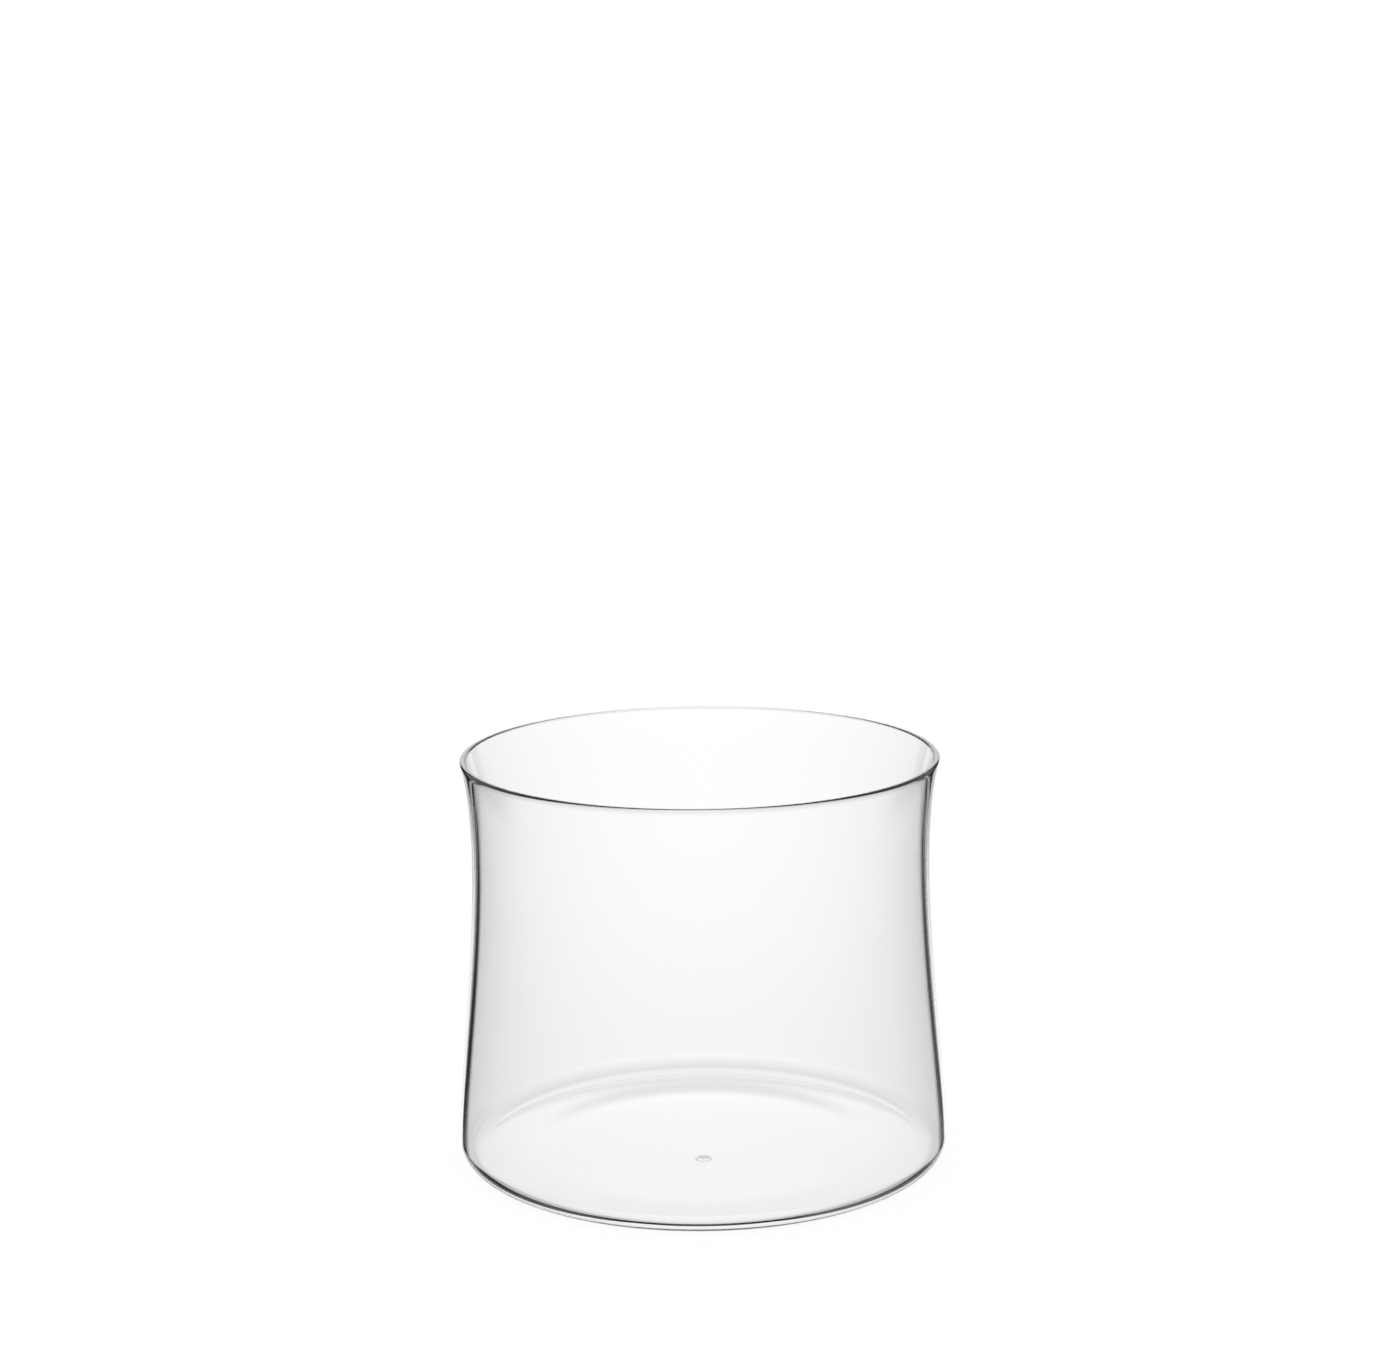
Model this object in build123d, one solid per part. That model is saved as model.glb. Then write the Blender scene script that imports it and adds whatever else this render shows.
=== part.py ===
from build123d import *

import os

# Mixing glass: one piece of clear blown glass, open at the top.
# The frame is in millimetres, +Z up, with its origin at the centre of the foot.
# Every outline point is (radius, height), and the section turns once about Z.

# Driving dimensions
HEIGHT = 95.0
RIM_RADIUS = 55.0
RIM_WALL = 1.4
RIM_ROUND = 0.6
BELLY_RADIUS = 57.0
BELLY_WALL = 1.9
BELLY_TOP_PULL = 22.0
WAIST_PULL_RADIUS = 49.0
WAIST_PULL_HEIGHT = 72.0
HEEL_RADIUS = 5.0
BASE_WALL = 1.5
KICK_RISE = 0.4
KICK_TOP_RADIUS = 30.0
FOOT_RING_INNER_RADIUS = 49.0

HEEL_CENTRE_RADIUS = BELLY_RADIUS - HEEL_RADIUS


def swell(start, end):
    """A smooth step between two heights, level at both ends."""
    middle = (start[0] + end[0]) / 2
    return Bezier(start, (middle, start[1]), (middle, end[1]), end)


def outer_outline():
    """The underside's kick, the flat foot ring, the heel and the waisted wall, out to the rim."""
    kick_apex = (0, KICK_RISE)
    kick_edge = (KICK_TOP_RADIUS, KICK_RISE)
    ring_inner = (FOOT_RING_INNER_RADIUS, 0)
    ring_outer = (HEEL_CENTRE_RADIUS, 0)
    belly = (BELLY_RADIUS, HEEL_RADIUS)
    return [
        Line(kick_apex, kick_edge),
        swell(kick_edge, ring_inner),
        Line(ring_inner, ring_outer),
        TangentArc(ring_outer, belly, tangent=(1, 0)),
        Bezier(
            belly,
            (BELLY_RADIUS, BELLY_TOP_PULL),
            (WAIST_PULL_RADIUS, WAIST_PULL_HEIGHT),
            (RIM_RADIUS, HEIGHT - RIM_ROUND),
        ),
    ]


def rim_outline():
    """The ground and polished rim: a narrow flat ring with a small round on each side."""
    inner_radius = RIM_RADIUS - RIM_WALL
    flat_outer = (RIM_RADIUS - RIM_ROUND, HEIGHT)
    flat_inner = (inner_radius + RIM_ROUND, HEIGHT)
    return [
        TangentArc((RIM_RADIUS, HEIGHT - RIM_ROUND), flat_outer, tangent=(0, 1)),
        Line(flat_outer, flat_inner),
        TangentArc(flat_inner, (inner_radius, HEIGHT - RIM_ROUND), tangent=(-1, 0)),
    ]


def inner_outline():
    """The inside: the wall down from the rim, the inner heel and a floor that follows the underside."""
    heel_top = (BELLY_RADIUS - BASE_WALL, HEEL_RADIUS)
    heel_foot = (HEEL_CENTRE_RADIUS, BASE_WALL)
    floor_edge = (FOOT_RING_INNER_RADIUS, BASE_WALL)
    rise_edge = (KICK_TOP_RADIUS, KICK_RISE + BASE_WALL)
    rise_apex = (0, KICK_RISE + BASE_WALL)
    return [
        Bezier(
            (RIM_RADIUS - RIM_WALL, HEIGHT - RIM_ROUND),
            (WAIST_PULL_RADIUS - BELLY_WALL, WAIST_PULL_HEIGHT),
            (BELLY_RADIUS - BELLY_WALL, BELLY_TOP_PULL),
            heel_top,
        ),
        TangentArc(heel_top, heel_foot, tangent=(0, -1)),
        Line(heel_foot, floor_edge),
        swell(floor_edge, rise_edge),
        Line(rise_edge, rise_apex),
    ]


def glass_vessel():
    """The whole glass, as a solid of revolution."""
    axis_line = Line((0, KICK_RISE + BASE_WALL), (0, KICK_RISE))
    outline = outer_outline() + rim_outline() + inner_outline() + [axis_line]
    section = make_face(Plane.XZ * Curve(outline))
    return revolve(section, Axis.Z, 360)


os.makedirs("parts", exist_ok=True)
export_step(glass_vessel(), "parts/glass_vessel.step")
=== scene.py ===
import math

import bpy
import numpy as np
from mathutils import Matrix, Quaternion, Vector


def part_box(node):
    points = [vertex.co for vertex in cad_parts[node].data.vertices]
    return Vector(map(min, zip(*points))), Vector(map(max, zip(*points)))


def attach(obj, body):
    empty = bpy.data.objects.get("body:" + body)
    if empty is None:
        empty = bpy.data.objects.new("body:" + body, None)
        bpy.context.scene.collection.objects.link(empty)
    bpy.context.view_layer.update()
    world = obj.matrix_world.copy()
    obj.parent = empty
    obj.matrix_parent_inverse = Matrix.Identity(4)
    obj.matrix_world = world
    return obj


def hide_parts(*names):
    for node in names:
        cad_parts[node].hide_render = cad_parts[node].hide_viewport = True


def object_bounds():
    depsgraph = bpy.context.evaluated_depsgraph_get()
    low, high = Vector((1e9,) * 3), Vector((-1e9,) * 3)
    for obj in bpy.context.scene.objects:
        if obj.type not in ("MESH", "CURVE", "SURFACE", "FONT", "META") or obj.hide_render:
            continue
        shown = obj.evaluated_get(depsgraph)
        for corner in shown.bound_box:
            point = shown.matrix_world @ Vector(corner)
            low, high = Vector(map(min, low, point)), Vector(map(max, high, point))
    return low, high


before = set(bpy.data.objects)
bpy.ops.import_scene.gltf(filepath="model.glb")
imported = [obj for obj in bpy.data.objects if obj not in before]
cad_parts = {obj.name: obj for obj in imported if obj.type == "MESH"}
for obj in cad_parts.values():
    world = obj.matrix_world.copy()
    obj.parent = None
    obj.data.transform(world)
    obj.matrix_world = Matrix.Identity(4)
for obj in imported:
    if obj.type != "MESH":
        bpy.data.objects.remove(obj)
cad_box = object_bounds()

MM = 0.001

# The glass, from the frame's box. Radii and heights are in metres.
lowest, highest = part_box("glass_vessel")
HEIGHT = highest.z - lowest.z
BELLY_RADIUS = (highest.x - lowest.x) / 2
RIM_RADIUS = BELLY_RADIUS - 2 * MM
RIM_WALL = 1.4 * MM
RIM_ROUND = 0.6 * MM
BELLY_WALL = 1.9 * MM
BASE_WALL = 1.5 * MM
BELLY_TOP_PULL = 22 * MM
WAIST_PULL_RADIUS = 49 * MM
WAIST_PULL_HEIGHT = 72 * MM
HEEL_RADIUS = 5 * MM
HEEL_CENTRE_RADIUS = BELLY_RADIUS - HEEL_RADIUS
KICK_RISE = 0.4 * MM
KICK_TOP_RADIUS = 30 * MM
FOOT_RING_INNER_RADIUS = 49 * MM

# Mesh steps: around the axis, and along each stretch of the outline.
TURNS = 288
WALL_POINTS = 72
FLAT_POINTS = 12
RING_POINTS = 6
INNER_RING_POINTS = 8
HEEL_POINTS = 20
INNER_HEEL_POINTS = 24
KICK_POINTS = 24
FLOOR_POINTS = 32
RIM_ROUND_POINTS = 7
SHORTEST_STEP = 1e-9

# The glass: its optics, the width, stretch and height of its waves, and the etched ring.
GLASS_IOR = 1.5
GLASS_SPECULAR_TINT = (0.25, 0.25, 0.25, 1)
GLASS_DEPTH_COLOUR = (0.80, 0.93, 0.88, 1)
GLASS_DEPTH_DENSITY = 8.0
WAVE_WIDTH = 7 * MM
WAVE_STRETCH = (1, 1, 0.12)
WAVE_HEIGHT = 0.005 * MM
MARK_FORWARD = 10.5 * MM
MARK_RADIUS = 1.7 * MM
MARK_LINE = 0.45 * MM
MARK_ROUGHNESS = 0.3

# The camera stands at the photograph's viewing angle.
CAMERA_DISTANCE = 0.700
CAMERA_ELEVATION = math.radians(16.277)
CAMERA_PITCH = math.radians(10.972)
CAMERA_YAW = math.radians(0.025)
CAMERA_ROLL = math.radians(0.58)
LENS = 77.06
SENSOR_WIDTH = 36

# The floor: it gives most of its white itself, so it takes hardly any shadow.
FLOOR_HALF = 4
FLOOR_COLOUR = (0.1, 0.1, 0.1, 1)
FLOOR_GLOW = 0.92

# The studio. Angles are in degrees, round from +Y or above the horizon, and a light of 1 is plain white.
# A step is the elevation where it starts, the elevation where it ends, and the change in light. A path
# that crosses glass more often than NEAR_WALL_CROSSINGS has gone past the near wall.
LOBES = 8
SWEEP_BETWEEN = 0.4
SWEEP_LIGHT = 0.87
SWEEP_STEPS = ((-25, -22, -0.12), (-24, -13.5, 0.25))
LOBE_FOOT = (-70, -50)
FRONT_PANEL = (20.5, 23)
FLANK_END = (31, 37)
WIDE_FLANK_END = (60, 74)
LEFT_FLANK_LIGHT = 0.03
RIGHT_FLANK_LIGHT = 0.08
FLANK_BLEND = (-20, 20)
FLANK_FOOT = (-26, -20)
SIDE_LIGHT = 0.62
TABLE_EDGE = (-66, -62)
TABLE_LIGHT = 0.06
CEILING_EDGE = (2, 10)
CEILING_EXTRA = 1.0
PANEL_TOP = (40, 60)
ROOM_LIGHT = 0.9
ROOM_STEPS = ((-8, 0, 0.1), (8, 11, -0.35), (14.5, 18.5, 0.55), (32, 42, -0.4))
PIPED_FLANK_TOP = (-8, 0)
NEAR_WALL_CROSSINGS = 2


def bezier(poles, count):
    """Points along a Bezier curve with these (radius, height) poles."""
    along = np.linspace(0, 1, count)[:, None]
    degree = len(poles) - 1
    return sum(
        math.comb(degree, k) * along**k * (1 - along) ** (degree - k) * np.array(pole)
        for k, pole in enumerate(poles)
    )


def arc(centre, radius, start, end, count):
    """Points along a round arc, between two angles in degrees."""
    angles = np.radians(np.linspace(start, end, count))
    return np.array(centre) + radius * np.column_stack([np.cos(angles), np.sin(angles)])


def line(start, end, count):
    """Points along a straight stretch."""
    return np.linspace(start, end, count)


def swell(start, end, count):
    """A smooth step between two heights, level at both ends."""
    middle = (start[0] + end[0]) / 2
    return bezier([start, (middle, start[1]), (middle, end[1]), end], count)


def underside():
    """The kick, the flat foot ring and the round heel, from the axis out to the belly."""
    kick_top = (KICK_TOP_RADIUS, KICK_RISE)
    foot_ring_inner = (FOOT_RING_INNER_RADIUS, 0)
    return [
        line((0, KICK_RISE), kick_top, FLAT_POINTS),
        swell(kick_top, foot_ring_inner, KICK_POINTS),
        line(foot_ring_inner, (HEEL_CENTRE_RADIUS, 0), RING_POINTS),
        arc((HEEL_CENTRE_RADIUS, HEEL_RADIUS), HEEL_RADIUS, -90, 0, HEEL_POINTS),
    ]


def outside_wall():
    """The outside of the waisted wall, from the heel up to the rim."""
    return [
        bezier(
            [
                (BELLY_RADIUS, HEEL_RADIUS),
                (BELLY_RADIUS, BELLY_TOP_PULL),
                (WAIST_PULL_RADIUS, WAIST_PULL_HEIGHT),
                (RIM_RADIUS, HEIGHT - RIM_ROUND),
            ],
            WALL_POINTS,
        )
    ]


def rim():
    """The ground ring, with a small round on each side."""
    inner_radius = RIM_RADIUS - RIM_WALL
    outer_centre = (RIM_RADIUS - RIM_ROUND, HEIGHT - RIM_ROUND)
    inner_centre = (inner_radius + RIM_ROUND, HEIGHT - RIM_ROUND)
    return [
        arc(outer_centre, RIM_ROUND, 0, 90, RIM_ROUND_POINTS),
        line((outer_centre[0], HEIGHT), (inner_centre[0], HEIGHT), RING_POINTS),
        arc(inner_centre, RIM_ROUND, 90, 180, RIM_ROUND_POINTS),
    ]


def inside():
    """The wall down from the rim, the inner heel and a floor that follows the underside."""
    inner_heel_radius = HEEL_RADIUS - BASE_WALL
    heel_top = (BELLY_RADIUS - BASE_WALL, HEEL_RADIUS)
    floor_edge = (FOOT_RING_INNER_RADIUS, BASE_WALL)
    floor_top = (KICK_TOP_RADIUS, BASE_WALL + KICK_RISE)
    return [
        bezier(
            [
                (RIM_RADIUS - RIM_WALL, HEIGHT - RIM_ROUND),
                (WAIST_PULL_RADIUS - BELLY_WALL, WAIST_PULL_HEIGHT),
                (BELLY_RADIUS - BELLY_WALL, BELLY_TOP_PULL),
                heel_top,
            ],
            WALL_POINTS,
        ),
        arc((HEEL_CENTRE_RADIUS, HEEL_RADIUS), inner_heel_radius, 0, -90, INNER_HEEL_POINTS),
        line((HEEL_CENTRE_RADIUS, BASE_WALL), floor_edge, INNER_RING_POINTS),
        swell(floor_edge, floor_top, FLOOR_POINTS),
        line(floor_top, (0, floor_top[1]), FLAT_POINTS),
    ]


def outline():
    """The whole section, from the underside's centre to the floor's centre, with no point twice."""
    points = np.concatenate(underside() + outside_wall() + rim() + inside())
    steps = np.linalg.norm(np.diff(points, axis=0), axis=1)
    return points[np.concatenate([[True], steps > SHORTEST_STEP])]


def turned(name, section):
    """A closed mesh. The section's first and last points are on the axis, and the rest turn about it."""
    angles = np.linspace(0, 2 * math.pi, TURNS, endpoint=False)
    rings = section[1:-1]
    vertices = [(0, 0, section[0][1])]
    for radius, height in rings:
        vertices += [(radius * math.cos(a), radius * math.sin(a), height) for a in angles]
    vertices.append((0, 0, section[-1][1]))
    last = len(vertices) - 1
    top_ring = 1 + (len(rings) - 1) * TURNS
    faces = []
    for k in range(TURNS):
        after = (k + 1) % TURNS
        faces.append((0, 1 + after, 1 + k))
        faces.append((last, top_ring + k, top_ring + after))
        for ring in range(len(rings) - 1):
            low = 1 + ring * TURNS
            high = low + TURNS
            faces.append((low + k, low + after, high + after, high + k))
    mesh = bpy.data.meshes.new(name)
    mesh.from_pydata(vertices, [], faces)
    mesh.update()
    mesh.shade_smooth()
    piece = bpy.data.objects.new(name, mesh)
    bpy.context.scene.collection.objects.link(piece)
    return piece


def math_node(tree, operation, first, second=None):
    """One Math node. Each input is a number or another node's output."""
    node = tree.nodes.new("ShaderNodeMath")
    node.operation = operation
    for socket, value in zip(node.inputs, (first, second)):
        if isinstance(value, (int, float)):
            socket.default_value = value
        elif value is not None:
            tree.links.new(value, socket)
    return node.outputs[0]


def range_node(tree, value, low, high, out_low, out_high):
    """A smooth change from one output to another as the value goes from low to high."""
    node = tree.nodes.new("ShaderNodeMapRange")
    node.interpolation_type = "SMOOTHSTEP"
    tree.links.new(value, node.inputs["Value"])
    for name, number in (
        ("From Min", low),
        ("From Max", high),
        ("To Min", out_low),
        ("To Max", out_high),
    ):
        node.inputs[name].default_value = number
    return node.outputs["Result"]


def mix_node(tree, share, first, second):
    """A mix of two values, where a share of 0 is all the first and 1 is all the second."""
    node = tree.nodes.new("ShaderNodeMix")
    for name, value in (("Factor", share), ("A", first), ("B", second)):
        if isinstance(value, (int, float)):
            node.inputs[name].default_value = value
        else:
            tree.links.new(value, node.inputs[name])
    return node.outputs["Result"]


def clear_glass():
    """Clear blown glass: a faint grey-green depth, slow waves in the surface and a small etched ring."""
    material = bpy.data.materials.new("clear_glass")
    material.use_nodes = True
    tree = material.node_tree
    shader = tree.nodes["Principled BSDF"]
    shader.inputs["Base Color"].default_value = (1, 1, 1, 1)
    shader.inputs["Transmission Weight"].default_value = 1.0
    shader.inputs["IOR"].default_value = GLASS_IOR
    shader.inputs["Specular Tint"].default_value = GLASS_SPECULAR_TINT
    place = tree.nodes.new("ShaderNodeTexCoord").outputs["Object"]
    tree.links.new(etched(tree, place), shader.inputs["Roughness"])
    tree.links.new(waves(tree, place), shader.inputs["Normal"])
    depth = tree.nodes.new("ShaderNodeVolumeAbsorption")
    depth.inputs["Color"].default_value = GLASS_DEPTH_COLOUR
    depth.inputs["Density"].default_value = GLASS_DEPTH_DENSITY
    output = tree.nodes["Material Output"]
    tree.links.new(depth.outputs["Volume"], output.inputs["Volume"])
    return material


def waves(tree, place):
    """A bump of slow waves, drawn out down the wall as blown glass sets."""
    stretch = tree.nodes.new("ShaderNodeVectorMath")
    stretch.operation = "MULTIPLY"
    tree.links.new(place, stretch.inputs[0])
    stretch.inputs[1].default_value = WAVE_STRETCH
    noise = tree.nodes.new("ShaderNodeTexNoise")
    noise.inputs["Scale"].default_value = 1 / WAVE_WIDTH
    noise.inputs["Detail"].default_value = 1.0
    tree.links.new(stretch.outputs[0], noise.inputs["Vector"])
    bump = tree.nodes.new("ShaderNodeBump")
    bump.inputs["Strength"].default_value = 1.0
    bump.inputs["Distance"].default_value = WAVE_HEIGHT
    tree.links.new(noise.outputs["Fac"], bump.inputs["Height"])
    return bump.outputs["Normal"]


def etched(tree, place):
    """Polished everywhere but on a small plain ring, etched under the floor towards the front."""
    from_mark = tree.nodes.new("ShaderNodeVectorMath")
    from_mark.operation = "DISTANCE"
    tree.links.new(place, from_mark.inputs[0])
    from_mark.inputs[1].default_value = (0, -MARK_FORWARD, KICK_RISE)
    off_ring = math_node(tree, "SUBTRACT", from_mark.outputs["Value"], MARK_RADIUS)
    off_ring = math_node(tree, "ABSOLUTE", off_ring)
    return range_node(tree, off_ring, MARK_LINE / 2, MARK_LINE, MARK_ROUGHNESS, 0.0)


def above(degrees):
    """The upward part of a direction this far above the horizon."""
    return math.sin(math.radians(degrees))


def between(tree, upward, elevations, low_light, high_light):
    """Light that changes smoothly from one value to another between two elevations."""
    low, high = (above(elevation) for elevation in elevations)
    return range_node(tree, upward, low, high, low_light, high_light)


def graded(tree, upward, light, steps):
    """Light that starts at one level and changes smoothly in steps, each between two elevations."""
    for start, end, change in steps:
        light = math_node(tree, "ADD", between(tree, upward, (start, end), 0.0, change), light)
    return light


def sweep(tree, from_lobe, upward):
    """The white sweep seen straight through the glass, dimmer away from each lobe and lower down."""
    lobes = range_node(tree, from_lobe, 0.0, math.pi / LOBES, 1.0, SWEEP_BETWEEN)
    around = mix_node(tree, between(tree, upward, LOBE_FOOT, 0.0, 1.0), 1.0, lobes)
    return math_node(tree, "MULTIPLY", around, graded(tree, upward, SWEEP_LIGHT, SWEEP_STEPS))


def flanked(tree, azimuth, flank_end, past_light):
    """A white panel in front, dark flanks beside it, the left one darker, and this light past them."""
    from_front = math_node(tree, "ABSOLUTE", azimuth)
    blend = np.radians(FLANK_BLEND)
    flank = range_node(tree, azimuth, *blend, LEFT_FLANK_LIGHT, RIGHT_FLANK_LIGHT)
    past_front = range_node(tree, from_front, *np.radians(FRONT_PANEL), 0.0, 1.0)
    past_flank = range_node(tree, from_front, *np.radians(flank_end), 0.0, 1.0)
    return mix_node(tree, past_flank, mix_node(tree, past_front, 1.0, flank), past_light)


def cards(tree, azimuth, upward):
    """The flanked panel, over a dark table and under a bright ceiling: it draws the edge lines."""
    around = mix_node(
        tree,
        between(tree, upward, FLANK_FOOT, 0.0, 1.0),
        flanked(tree, azimuth, WIDE_FLANK_END, SIDE_LIGHT),
        flanked(tree, azimuth, FLANK_END, SIDE_LIGHT),
    )
    table = between(tree, upward, TABLE_EDGE, TABLE_LIGHT, 1.0)
    ceiling = between(tree, upward, CEILING_EDGE, 0.0, CEILING_EXTRA)
    panels = math_node(tree, "MULTIPLY", around, math_node(tree, "ADD", table, ceiling))
    return mix_node(tree, between(tree, upward, PANEL_TOP, 0.0, 1.0), panels, 1.0)


def piped(tree, azimuth, upward, room):
    """The room as seen along the inside of one wall, with dark flanks below the horizon."""
    around = mix_node(
        tree,
        between(tree, upward, PIPED_FLANK_TOP, 0.0, 1.0),
        flanked(tree, azimuth, WIDE_FLANK_END, 1.0),
        1.0,
    )
    return math_node(tree, "MULTIPLY", around, room)


def more_than(tree, depth, count):
    """1 where a ray's whole-number depth is above this count, and 0 elsewhere."""
    return math_node(tree, "GREATER_THAN", depth, count + 0.5)


def studio_light():
    """
    Soft light all round. What isn't seen by way of the glass is plain white. What is comes in four parts:
    the sweep straight through it, the cards in a first mirroring off the near wall, the piped light after
    more mirroring inside that wall, and the room for whatever is mirrored beyond it.
    """
    world = bpy.data.worlds.new("studio")
    bpy.context.scene.world = world
    world.use_nodes = True
    tree = world.node_tree
    background = tree.nodes["Background"]
    direction = tree.nodes.new("ShaderNodeTexCoord").outputs["Generated"]
    split = tree.nodes.new("ShaderNodeSeparateXYZ")
    tree.links.new(direction, split.inputs[0])
    azimuth = math_node(tree, "ARCTAN2", split.outputs["X"], split.outputs["Y"])
    from_lobe = math_node(tree, "PINGPONG", azimuth, math.pi / LOBES)
    upward = split.outputs["Z"]
    path = tree.nodes.new("ShaderNodeLightPath").outputs
    past_one_wall = more_than(tree, path["Transmission Depth"], NEAR_WALL_CROSSINGS)
    mirrored_again = more_than(tree, path["Glossy Depth"], 1)
    room = graded(tree, upward, ROOM_LIGHT, ROOM_STEPS)
    near_wall = mix_node(
        tree,
        mirrored_again,
        cards(tree, azimuth, upward),
        piped(tree, azimuth, upward, room),
    )
    mirrored = mix_node(tree, past_one_wall, near_wall, room)
    is_mirrored = more_than(tree, path["Glossy Depth"], 0)
    through_glass = mix_node(tree, is_mirrored, sweep(tree, from_lobe, upward), mirrored)
    is_diffuse = more_than(tree, path["Diffuse Depth"], 0)
    plain = math_node(tree, "MAXIMUM", path["Is Camera Ray"], is_diffuse)
    strength = mix_node(tree, plain, through_glass, 1.0)
    background.inputs["Color"].default_value = (1, 1, 1, 1)
    tree.links.new(strength, background.inputs["Strength"])


def pale_floor():
    """A plain white floor. Rays that pass through the glass or mirror off it see the studio instead."""
    mesh = bpy.data.meshes.new("floor")
    corners = [(x * FLOOR_HALF, y * FLOOR_HALF, 0) for x, y in ((-1, -1), (1, -1), (1, 1), (-1, 1))]
    mesh.from_pydata(corners, [], [(0, 1, 2, 3)])
    floor = bpy.data.objects.new("floor", mesh)
    bpy.context.scene.collection.objects.link(floor)
    floor.visible_transmission = False
    floor.visible_glossy = False
    material = bpy.data.materials.new("floor_white")
    material.use_nodes = True
    shader = material.node_tree.nodes["Principled BSDF"]
    shader.inputs["Base Color"].default_value = FLOOR_COLOUR
    shader.inputs["Roughness"].default_value = 1.0
    shader.inputs["Specular IOR Level"].default_value = 0.0
    shader.inputs["Emission Color"].default_value = (1, 1, 1, 1)
    shader.inputs["Emission Strength"].default_value = FLOOR_GLOW
    mesh.materials.append(material)


def camera():
    """The camera, aimed by its own pitch, yaw and roll from its place in front of the glass."""
    data = bpy.data.cameras.new("camera")
    data.lens = LENS
    data.sensor_width = SENSOR_WIDTH
    view = bpy.data.objects.new("camera", data)
    bpy.context.scene.collection.objects.link(view)
    centre_height = (cad_box[0].z + cad_box[1].z) / 2
    view.location = (
        0,
        -CAMERA_DISTANCE * math.cos(CAMERA_ELEVATION),
        centre_height + CAMERA_DISTANCE * math.sin(CAMERA_ELEVATION),
    )
    view.rotation_mode = "QUATERNION"
    aim = Quaternion((0, 0, 1), -CAMERA_YAW) @ Quaternion((1, 0, 0), math.pi / 2 - CAMERA_PITCH)
    view.rotation_quaternion = aim @ Quaternion((0, 0, 1), -CAMERA_ROLL)
    bpy.context.scene.camera = view


vessel = turned("blown_glass", outline())
vessel.data.materials.append(clear_glass())
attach(vessel, "root")
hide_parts("glass_vessel")

studio_light()
pale_floor()
camera()
bpy.context.scene.view_settings.view_transform = "Standard"
